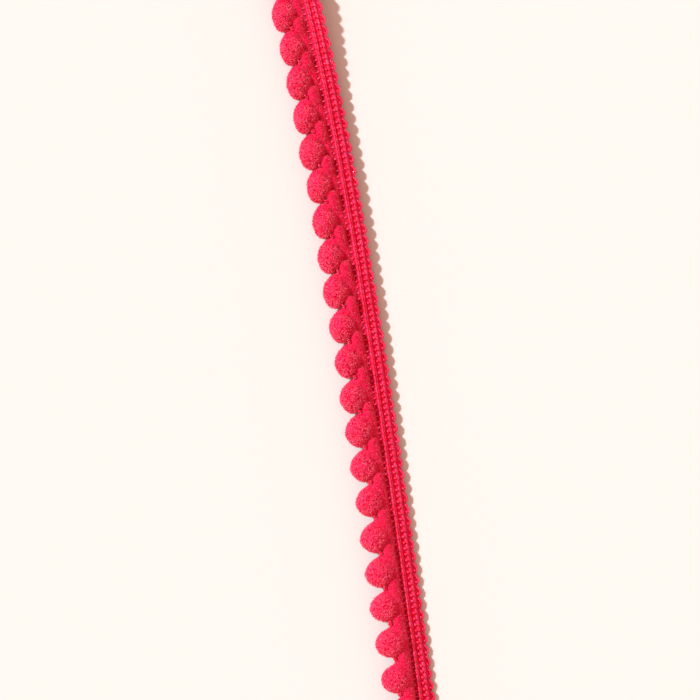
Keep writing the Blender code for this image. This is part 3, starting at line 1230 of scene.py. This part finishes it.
# %% Tie threads
TIE_LOOP = (
    # across, along, up (mm)
    (0.35, -0.10, -0.25),
    (0.10, -0.16, 0.18),
    (-0.25, -0.05, 0.25),
    (-0.42, 0.10, 0.02),
    (-0.20, 0.20, -0.20),
    (0.20, 0.12, -0.25),
)
TIE_THICKNESS = 0.32
TIE_SPOTS = (
    # ahead, inset, height (mm) from the middle between two pompoms
    (0.95, 7.95, 4.8),
    (0.60, 7.85, 4.6),
    (0.30, 8.00, 3.6),
)


def tie_spots():
    """Three spots in every notch, as the points of a mesh."""
    mesh = bpy.data.meshes.new("tie_spots")
    spots = [
        place(PITCH * index + ahead * MM, inset * MM, height * MM)
        for index in range(1, POMPOMS)
        for ahead, inset, height in TIE_SPOTS
    ]
    mesh.from_pydata(spots, [], [])
    return mesh


def ties_tree():
    """Sets a loop on every point, turned by chance."""
    tree, given = new_tree(
        "loops at points",
        Object=["Loop"],
        Float=["Size", "Tumble"],
        Int=["Seed"],
        Material=["Yarn"],
    )
    points = add(tree, "GeometryNodeMeshToPoints", {"Mesh": given["Geometry"]})
    turn = chance_turn(tree, given["Seed"], given["Tumble"])
    loops = copies(tree, points, given["Loop"], turn, given["Size"])
    return finish_tree(tree, loops, given["Yarn"])


loop = strand("tie_loop", TIE_LOOP, TIE_THICKNESS)
sizes = {"Loop": loop, "Size": 1.0, "Tumble": 0.9, "Seed": 61, "Yarn": YARN}
ties = grow("tie_threads", ties_tree(), tie_spots(), sizes)

# %% [markdown]
# ## Put away the patterns
#
# The stitches and the fibre that the trees copied were only patterns. They are removed, so
# that what is left in the scene is the trim.

# %% Remove patterns
print("patterns removed:", [pattern.name for pattern in patterns])
for pattern in patterns:
    bpy.data.objects.remove(pattern, do_unlink=True)

# %% [markdown]
# ## The floor
#
# A plain cream board, uncoated, so it has no shine and only the finest tooth of paper.

# %% Floor
FLOOR_SIZE = 12.0  # metres
TOOTH = 0.5 * MM  # from one speck of the board to the next, coarser than real so that it shows
TOOTH_DEPTH = 0.02 * MM


def cream_board():
    """Matt uncoated board: no shine, and a faint tooth."""
    made, tree, shader = new_material("uncoated cream board", 0.95, gloss=0.2)
    spot = add(tree, "ShaderNodeTexCoord").outputs["Object"]
    tooth = add(
        tree, "ShaderNodeTexNoise", {"Scale": 1 / TOOTH, "Detail": 2, "Vector": spot}
    ).outputs["Fac"]
    shades = (linear("cacdca"), linear("cfd2cf"))
    colour_between(tree, shader, tooth, *shades, relief=(0.05, TOOTH_DEPTH, tooth))
    return made


half = FLOOR_SIZE / 2
corners = [(-half, -half, 0), (half, -half, 0), (half, half, 0), (-half, half, 0)]
board = bpy.data.meshes.new("floor")
board.from_pydata(corners, [], [(0, 1, 2, 3)])
board.materials.append(cream_board())
floor = new_object("floor", board)
print("floor:", FLOOR_SIZE, "m wide")

# %% [markdown]
# ## The light
#
# One lamp, as small in the sky as a studio flash in a soft box across the room, stands half
# way up on the left, so the edge of the braid throws a clear scalloped shadow. It is a
# little cool. The pale surroundings fill the shadows, and they are warm, so that the two
# together leave the board cream and its shadows a rosy brown.

# %% Lights
SHADOW_SLANT = math.radians(25)  # how far below the picture's right the shadow points
LAMP_HEIGHT = math.radians(41.5)
LAMP_WIDTH = math.radians(4)
KEY_COLOUR = (0.822, 0.948, 1.0)
KEY_STRENGTH = 4.82
FILL_COLOUR = (1.0, 0.555, 0.447, 1)
FILL_STRENGTH = 1.0

lamp = new_object("key", bpy.data.lights.new("key", "SUN"))
lamp.data.energy = KEY_STRENGTH
lamp.data.color = KEY_COLOUR
lamp.data.angle = LAMP_WIDTH
falls = picture_direction(math.cos(SHADOW_SLANT), -math.sin(SHADOW_SLANT))
falls.z = -math.tan(LAMP_HEIGHT)
lamp.rotation_euler = falls.to_track_quat("-Z", "Y").to_euler()

world = bpy.data.worlds.new("pale studio")
world.use_nodes = True
surroundings = world.node_tree.nodes["Background"]
surroundings.inputs["Color"].default_value = FILL_COLOUR
surroundings.inputs["Strength"].default_value = FILL_STRENGTH
bpy.context.scene.world = world
bpy.context.scene.view_settings.view_transform = "Standard"
print("key:", KEY_STRENGTH, "fill:", FILL_STRENGTH)

# %% [markdown]
# ## Hand the pieces over
#
# Each piece rides on the trim's one body, and the two solids are hidden, so that the pieces
# stand in their place.

for piece in [ground, *stitches, ties]:
    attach(piece, "root")
for piece in [pompoms, *coats]:
    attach(piece, "root")
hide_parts("braid")
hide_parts("pompom_row")
